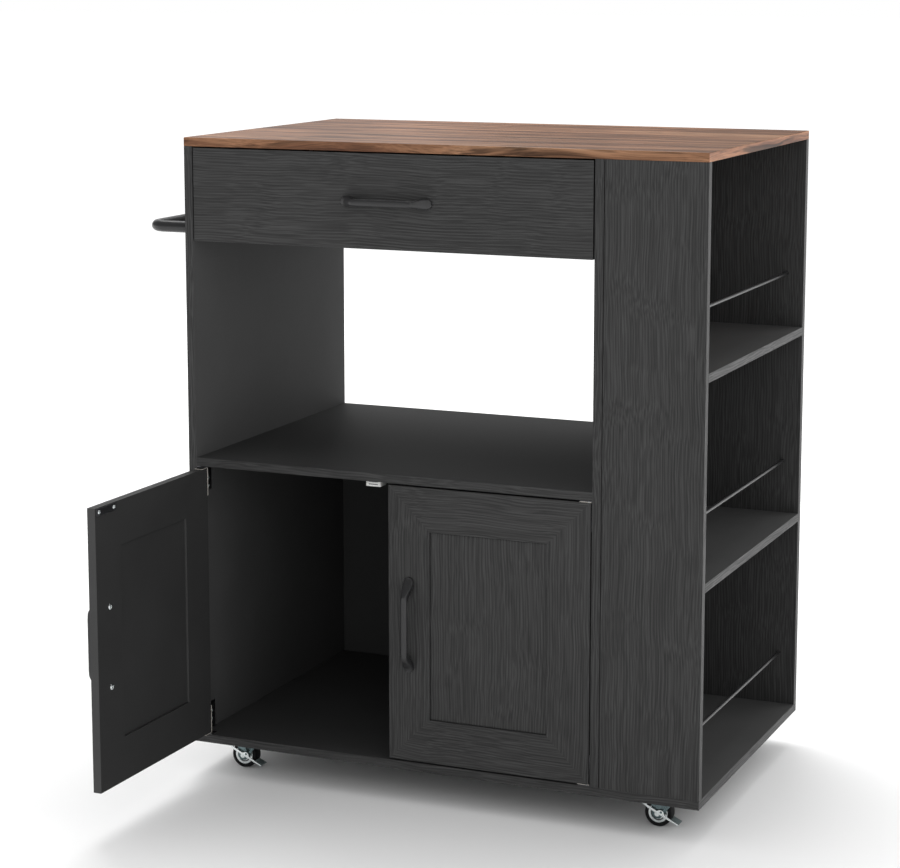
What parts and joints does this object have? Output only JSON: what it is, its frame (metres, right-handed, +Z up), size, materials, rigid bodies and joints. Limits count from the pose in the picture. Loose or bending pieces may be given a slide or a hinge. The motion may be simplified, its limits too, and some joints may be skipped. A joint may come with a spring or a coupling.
{
  "type": "kitchen island cart",
  "caption": "Kitchen island cart on casters: worktop, drawer, open niche, two-door cupboard, side shelves with guard rods and a side towel bar.",
  "frame": {"origin": "centre of the cart's footprint on the floor, left door open and towel bar included", "axes": "+X to the right along the front, +Y to the back, +Z up"},
  "size_m": [0.831, 0.7584, 0.9],
  "materials": {
    "worktop_decor": "satin rustic walnut decor laminate",
    "charcoal_grain": "embossed wood-grain charcoal laminate",
    "charcoal_board": "smooth matte charcoal laminate",
    "dowel_wood": "plain beech",
    "black_metal": "satin black powder coat",
    "zinc": "bright zinc plate",
    "dark_steel": "dark burnished steel",
    "hub_metal": "bright plated hub",
    "tyre": "matte black rubber",
    "white_plastic": "white moulded plastic"
  },
  "bodies": {
    "cabinet": {"assembly_dowels": "dowel_wood", "assembly_screws": "zinc", "bottom_board": "charcoal_board", "cabinet_runners": "zinc", "cabinet_screws": "zinc", "cam_locks": "zinc", "caster_plates": "zinc", "caster_screws": "zinc", "cupboard_back": "charcoal_board", "divider_panel": "charcoal_board", "front_panel": "charcoal_grain", "guard_rods": "black_metal", "hinge_pins": "zinc", "hinge_plates": "zinc", "left_panel": "charcoal_board", "lower_side_shelf": "charcoal_board", "magnetic_catches": "white_plastic", "middle_shelf": "charcoal_board", "rear_panel": "charcoal_grain", "rear_rail": "charcoal_board", "towel_bar": "black_metal", "upper_side_shelf": "charcoal_board", "worktop": "worktop_decor"},
    "drawer": {"drawer_back": "charcoal_board", "drawer_bottom": "charcoal_board", "drawer_fasteners": "zinc", "drawer_front": "charcoal_grain", "drawer_handle": "black_metal", "drawer_left_side": "charcoal_board", "drawer_right_side": "charcoal_board", "drawer_runners": "zinc"},
    "ball_cages": {"ball_cages": "zinc"},
    "left_door": {"left_door": "charcoal_grain", "left_door_handle": "black_metal", "left_door_screws": "zinc", "left_hinge_leaves": "zinc", "left_strike_plate": "dark_steel"},
    "right_door": {"right_door": "charcoal_grain", "right_door_handle": "black_metal", "right_door_screws": "zinc", "right_hinge_leaves": "zinc", "right_strike_plate": "dark_steel"},
    "swivel_front_left": {"axle_front_left": "zinc", "fork_front_left": "zinc"},
    "swivel_front_right": {"axle_front_right": "zinc", "fork_front_right": "zinc"},
    "swivel_rear_left": {"axle_rear_left": "zinc", "fork_rear_left": "zinc"},
    "swivel_rear_right": {"axle_rear_right": "zinc", "fork_rear_right": "zinc"},
    "brake_front_left": {"brake_front_left": "zinc"},
    "brake_front_right": {"brake_front_right": "zinc"},
    "wheel_front_left": {"hub_front_left": "hub_metal", "tyre_front_left": "tyre"},
    "wheel_front_right": {"hub_front_right": "hub_metal", "tyre_front_right": "tyre"},
    "wheel_rear_left": {"hub_rear_left": "hub_metal", "tyre_rear_left": "tyre"},
    "wheel_rear_right": {"hub_rear_right": "hub_metal", "tyre_rear_right": "tyre"}
  },
  "joints": [
    {"name": "drawer_slide", "type": "slide", "parent": "cabinet", "child": "drawer", "axis": [0, -1, 0], "range_m": [0, 0.26]},
    {"name": "ball_cage_slide", "type": "slide", "parent": "cabinet", "child": "ball_cages", "axis": [0, -1, 0], "range_m": [0, 0.13]},
    {"name": "left_door_hinge", "type": "hinge", "parent": "cabinet", "child": "left_door", "pos_m": [-0.313, -0.0931, 0.2525], "axis": [0, 0, 1], "range_deg": [-19, 91]},
    {"name": "right_door_hinge", "type": "hinge", "parent": "cabinet", "child": "right_door", "pos_m": [0.2605, -0.0931, 0.2525], "axis": [0, 0, 1], "range_deg": [0, 110]},
    {"name": "swivel_front_left", "type": "hinge", "parent": "cabinet", "child": "swivel_front_left", "pos_m": [-0.267, -0.0376, 0.0424], "axis": [0, 0, 1], "continuous": true},
    {"name": "roll_front_left", "type": "hinge", "parent": "swivel_front_left", "child": "wheel_front_left", "pos_m": [-0.276, -0.0376, 0.019], "axis": [0, 1, 0], "continuous": true},
    {"name": "brake_front_left", "type": "hinge", "parent": "swivel_front_left", "child": "brake_front_left", "pos_m": [-0.27005, -0.0376, 0.02229], "axis": [0, -1, 0], "range_deg": [0, 12]},
    {"name": "swivel_front_right", "type": "hinge", "parent": "cabinet", "child": "swivel_front_right", "pos_m": [0.353, -0.0376, 0.0424], "axis": [0, 0, 1], "continuous": true},
    {"name": "roll_front_right", "type": "hinge", "parent": "swivel_front_right", "child": "wheel_front_right", "pos_m": [0.344, -0.0376, 0.019], "axis": [0, 1, 0], "continuous": true},
    {"name": "brake_front_right", "type": "hinge", "parent": "swivel_front_right", "child": "brake_front_right", "pos_m": [0.34995, -0.0376, 0.02229], "axis": [0, -1, 0], "range_deg": [0, 12]},
    {"name": "swivel_rear_left", "type": "hinge", "parent": "cabinet", "child": "swivel_rear_left", "pos_m": [-0.267, 0.3214, 0.0424], "axis": [0, 0, 1], "continuous": true},
    {"name": "roll_rear_left", "type": "hinge", "parent": "swivel_rear_left", "child": "wheel_rear_left", "pos_m": [-0.276, 0.3214, 0.019], "axis": [0, 1, 0], "continuous": true},
    {"name": "swivel_rear_right", "type": "hinge", "parent": "cabinet", "child": "swivel_rear_right", "pos_m": [0.353, 0.3214, 0.0424], "axis": [0, 0, 1], "continuous": true},
    {"name": "roll_rear_right", "type": "hinge", "parent": "swivel_rear_right", "child": "wheel_rear_right", "pos_m": [0.344, 0.3214, 0.019], "axis": [0, 1, 0], "continuous": true}
  ],
  "couplings": [
    {"joint": "ball_cage_slide", "follows": "drawer_slide", "ratio": 0.5}
  ]
}
